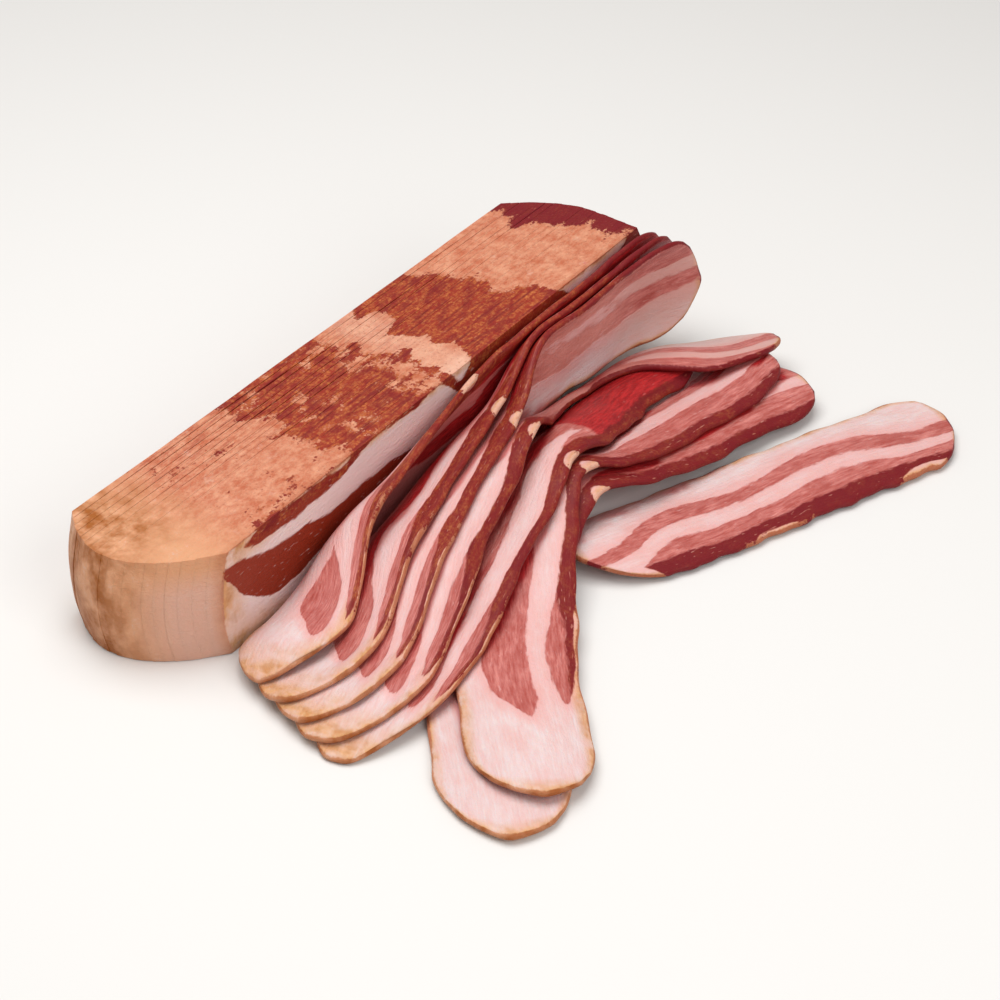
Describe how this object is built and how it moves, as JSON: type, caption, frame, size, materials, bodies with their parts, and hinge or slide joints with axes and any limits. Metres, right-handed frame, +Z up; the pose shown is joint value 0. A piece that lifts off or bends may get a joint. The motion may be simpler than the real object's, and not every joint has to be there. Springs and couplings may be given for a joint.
{
  "type": "sliced bacon slab",
  "caption": "Slab of thick-cut smoked streaky bacon sliced through, its rear slices standing together and its front slices fanned out and lying bent over one another.",
  "frame": {"origin": "centre of the pile's outline on the surface it lies on", "axes": "+X along the standing slices from the smoked end to the cut end, +Y from the fanned slices to the back of the slab, +Z up"},
  "size_m": [0.3224, 0.2132, 0.058],
  "materials": {
    "streaky_bacon": "moist raw cured pork, pink lean and white fat, soft satin"
  },
  "bodies": {
    "root": {"slab_slice_01": "streaky_bacon", "slab_slice_02": "streaky_bacon", "slab_slice_03": "streaky_bacon", "slab_slice_04": "streaky_bacon", "slab_slice_05": "streaky_bacon", "slab_slice_06": "streaky_bacon", "slab_slice_07": "streaky_bacon", "slab_slice_08": "streaky_bacon", "slab_slice_09": "streaky_bacon", "slab_slice_10": "streaky_bacon", "slab_slice_11": "streaky_bacon", "slab_slice_12": "streaky_bacon", "slab_slice_13": "streaky_bacon", "slab_slice_14": "streaky_bacon", "slab_slice_15": "streaky_bacon", "slab_slice_16": "streaky_bacon", "slab_slice_17": "streaky_bacon", "slab_slice_18": "streaky_bacon", "slab_slice_19": "streaky_bacon", "fan_slice_1": "streaky_bacon", "fan_slice_2": "streaky_bacon", "fan_slice_3": "streaky_bacon", "fan_slice_4": "streaky_bacon", "fan_slice_5": "streaky_bacon", "bent_slice_upper": "streaky_bacon", "bent_slice_lower": "streaky_bacon", "front_slice": "streaky_bacon"}
  },
  "joints": []
}
